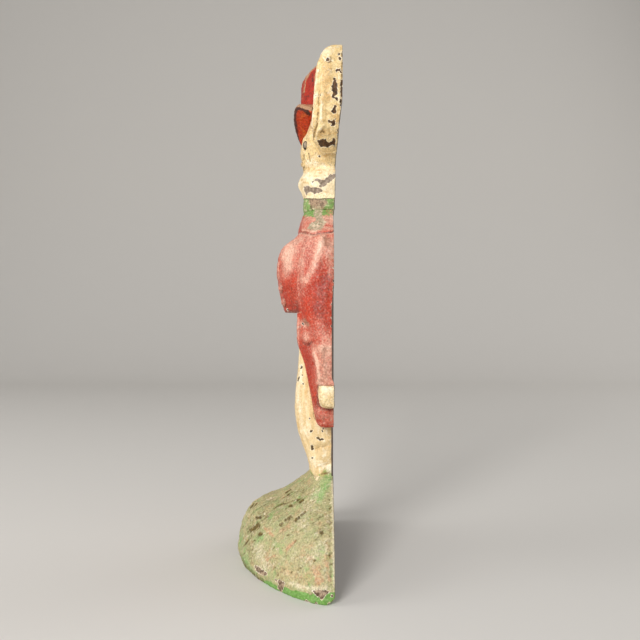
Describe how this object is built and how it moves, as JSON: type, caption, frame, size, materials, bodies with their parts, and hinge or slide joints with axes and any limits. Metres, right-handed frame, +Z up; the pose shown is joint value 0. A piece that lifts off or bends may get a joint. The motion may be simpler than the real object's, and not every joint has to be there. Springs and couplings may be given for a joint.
{
  "type": "doorstop",
  "caption": "Cast iron doorstop: a dressed hare in a top hat and tailcoat on a grassy mound, flat and hollow at the back, worn paint.",
  "frame": {"origin": "on the floor plane, under the middle of the bounding box", "axes": "+Z up, -Y the way the hare faces (out of the carved front), +Y the flat back, +X the hare's left side, which the picture shows"},
  "size_m": [0.119, 0.053, 0.2515],
  "materials": {
    "green_paint": "worn semi-matt enamel, chipped to bare iron",
    "cream_paint": "worn semi-matt enamel, stained and chipped to bare iron",
    "red_paint": "worn semi-matt enamel, dusty on the raised parts",
    "black_paint": "worn satin enamel"
  },
  "bodies": {
    "root": {"base_plinth": "green_paint", "grass_mound": "green_paint", "neck_band": "green_paint", "left_trouser_leg": "cream_paint", "right_trouser_leg": "cream_paint", "left_paw": "cream_paint", "right_paw": "cream_paint", "shirt_collar": "cream_paint", "head": "cream_paint", "left_ear": "cream_paint", "right_ear": "cream_paint", "left_coat_tail": "red_paint", "right_coat_tail": "red_paint", "left_hip_button": "red_paint", "right_hip_button": "red_paint", "left_sleeve": "red_paint", "right_sleeve": "red_paint", "coat_body": "red_paint", "coat_collar": "red_paint", "left_lapel": "red_paint", "right_lapel": "red_paint", "coat_button_1": "red_paint", "coat_button_2": "red_paint", "coat_button_3": "red_paint", "coat_button_4": "red_paint", "hat_brim": "red_paint", "hat_crown": "red_paint", "nose": "black_paint", "left_eye": "black_paint", "right_eye": "black_paint"}
  },
  "joints": []
}
